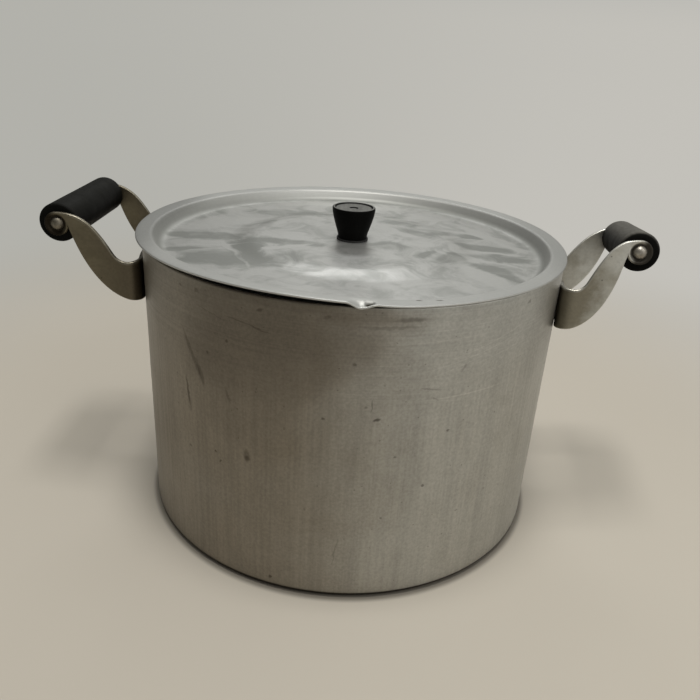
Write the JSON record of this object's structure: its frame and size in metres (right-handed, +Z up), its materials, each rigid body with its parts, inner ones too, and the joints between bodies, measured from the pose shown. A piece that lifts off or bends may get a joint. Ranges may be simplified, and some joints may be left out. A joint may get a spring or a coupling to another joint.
{
  "type": "stock pot",
  "caption": "Straight-sided aluminium stock pot with a dished lift-off lid, a black knob and riveted side handles with turning black grips.",
  "frame": {"origin": "centre of the pot's base, on the floor", "axes": "+Z up along the pot's axis; -X to the left handle, +X to the right handle; -Y faces the viewer"},
  "size_m": [0.372, 0.266, 0.2013],
  "materials": {
    "pot_aluminium": "worn, dull brushed aluminium with fine scratches and stains",
    "lid_aluminium": "lighter satin aluminium with cloudy wiped streaks",
    "bracket_aluminium": "brown-stained aluminium sheet with bright worn edges",
    "rivet_aluminium": "dull aluminium",
    "rod_steel": "dull steel with peened heads",
    "black_bakelite": "near-black satin bakelite, rubbed on the grips",
    "black_rubber": "matt black",
    "plated_steel": "zinc-plated",
    "brass": "plain"
  },
  "bodies": {
    "pot": {"pot_body": "pot_aluminium", "left_bracket": "bracket_aluminium", "left_rod": "rod_steel", "left_rivet_upper_front": "rivet_aluminium", "left_rivet_upper_rear": "rivet_aluminium", "left_rivet_lower_front": "rivet_aluminium", "left_rivet_lower_rear": "rivet_aluminium", "right_bracket": "bracket_aluminium", "right_rod": "rod_steel", "right_rivet_upper_front": "rivet_aluminium", "right_rivet_upper_rear": "rivet_aluminium", "right_rivet_lower_front": "rivet_aluminium", "right_rivet_lower_rear": "rivet_aluminium"},
    "left_grip": {"left_grip": "black_bakelite"},
    "right_grip": {"right_grip": "black_bakelite"},
    "lid": {"lid_panel": "lid_aluminium", "lid_knob": "black_bakelite", "knob_collar": "black_rubber", "knob_insert": "brass", "knob_screw": "plated_steel", "screw_washer": "plated_steel"}
  },
  "joints": [
    {"name": "lid_lift", "type": "slide", "parent": "pot", "child": "lid", "axis": [0, 0, 1], "range_m": [0, 0.12]},
    {"name": "left_grip_turn", "type": "hinge", "parent": "pot", "child": "left_grip", "pos_m": [-0.1712, 0, 0.1845], "axis": [0, 1, 0], "continuous": true},
    {"name": "right_grip_turn", "type": "hinge", "parent": "pot", "child": "right_grip", "pos_m": [0.17023, -0.00956, 0.18457], "axis": [0.2163, 0.9653, -0.1465], "continuous": true}
  ]
}
